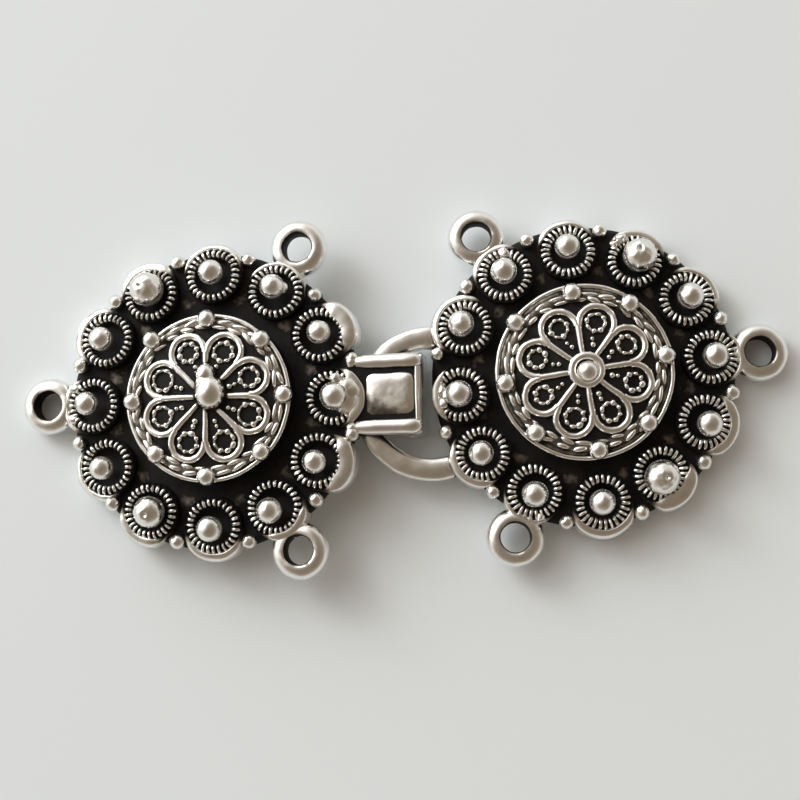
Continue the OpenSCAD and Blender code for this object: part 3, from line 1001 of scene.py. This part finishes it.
def make_hook_half():
    metal = Metal()
    add_disc(metal)
    add_rosettes(metal, HOOK_ROSETTES, HOOK_LUMPS, HOOK_RIB_R, skew=0.0, inset=0.0, seed=1)
    add_grains(metal, seed=3)
    add_dome(metal, HOOK_DOME_BALLS, turn=0.0, rim_out=-0.05, bead_ring_r=0.82, seed=5)
    add_ball_tip(metal)
    add_loops(metal)
    clear_notch(metal)
    add_hook(metal)
    finish_casting(metal, "hook_half_casting", "hook_half", HOOK_PLACE)


def make_eye_half():
    metal = Metal()
    add_disc(metal)
    add_rosettes(metal, EYE_ROSETTES, EYE_LUMPS, EYE_RIB_R, JOINT_SKEW, JOINT_INSET, seed=500)
    add_grains(metal, seed=4)
    add_dome(metal, EYE_DOME_BALLS, turn=1.7, rim_out=0.2, bead_ring_r=0.72, seed=60)
    add_cup_tip(metal)
    add_loops(metal)
    add_eye(metal)
    finish_casting(metal, "eye_half_casting", "eye_half", EYE_PLACE)


def make_table():
    """A plain pale matt table top."""
    material = bpy.data.materials.new("pale_matt_table")
    material.use_nodes = True
    shader = material.node_tree.nodes["Principled BSDF"]
    shader.inputs["Base Color"].default_value = linear("#f2f9fd")
    shader.inputs["Roughness"].default_value = 0.9
    reach = 1.5
    corners = [(-reach, -reach, 0), (reach, -reach, 0), (reach, reach, 0), (-reach, reach, 0)]
    mesh = bpy.data.meshes.new("table_top")
    mesh.from_pydata(corners, [], [(0, 1, 2, 3)])
    mesh.materials.append(material)
    table = bpy.data.objects.new("table_top", mesh)
    bpy.context.scene.collection.objects.link(table)


def make_camera():
    """Looks almost straight down from 125 mm, as the photograph does."""
    tilt = (-7.038, -5.101, 0.0)
    stand_off = Vector((0.031, -0.305, 125.08))
    sensor_mm = 36
    focal_pixels = 1500
    picture_pixels = 800
    turn = Euler([math.radians(a) for a in tilt], "XYZ").to_matrix().transposed()
    camera = bpy.data.objects.new("camera", bpy.data.cameras.new("camera"))
    camera.data.sensor_width = sensor_mm
    camera.data.lens = sensor_mm * focal_pixels / picture_pixels
    camera.data.clip_start = 0.005
    camera.matrix_world = Matrix.Translation(turn @ stand_off * MM) @ turn.to_4x4()
    bpy.context.scene.collection.objects.link(camera)
    bpy.context.scene.camera = camera


def add_light(name, place_mm, size_mm, watts, colour):
    """A soft round panel that faces the clasp."""
    light = bpy.data.lights.new(name, "AREA")
    light.shape = "DISK"
    light.size = size_mm * MM
    light.energy = watts
    light.color = linear(colour)[:3]
    panel = bpy.data.objects.new(name, light)
    position = Vector(place_mm) * MM
    panel.matrix_world = Matrix.Translation(position) @ position.to_track_quat("Z", "Y").to_matrix().to_4x4()
    bpy.context.scene.collection.objects.link(panel)


def make_room():
    """A white room, brighter around a low window, with a dim warm patch overhead that the metal mirrors."""
    overhead = Vector((0.22, -0.3, 0.93)).normalized()
    window = Vector((-0.69, 0.56, 0.46)).normalized()
    glow_strength = 1.7
    room_strength = 1.1
    window_away_mm = 500
    window_size_mm = 220
    window_watts = 0.85
    world = bpy.data.worlds.new("white_room")
    bpy.context.scene.world = world
    world.use_nodes = True
    tree = world.node_tree
    direction = add_node(tree, "ShaderNodeTexCoord").outputs["Generated"]
    near = add_node(tree, "ShaderNodeVectorMath", [(0, direction), (1, overhead)], operation="DOT_PRODUCT")
    walls = add_node(tree, "ShaderNodeValToRGB", [("Fac", near.outputs["Value"])],
                     [(0.0, "#e2e1de"), (0.3, "#beb8ae"), (0.6, "#897d6e"), (1.0, "#74685a")])
    toward = add_node(tree, "ShaderNodeVectorMath", [(0, direction), (1, window)], operation="DOT_PRODUCT")
    glow = add_node(tree, "ShaderNodeValToRGB", [("Fac", toward.outputs["Value"])],
                    [(0.52, "#000000"), (0.74, "#666666"), (0.9, "#e6e6e6"), (1.0, "#ffffff")])
    both = add_node(tree, "ShaderNodeVectorMath",
                    [(0, glow.outputs["Color"]), (1, (glow_strength,) * 3), (2, walls.outputs["Color"])],
                    operation="MULTIPLY_ADD")
    background = tree.nodes["Background"]
    tree.links.new(both.outputs["Vector"], background.inputs["Color"])
    background.inputs["Strength"].default_value = room_strength
    add_light("window", window_away_mm * window, window_size_mm, window_watts, "#ffffff")


make_camera()
make_room()
make_table()
make_hook_half()
make_eye_half()
bpy.context.scene.view_settings.view_transform = "Standard"
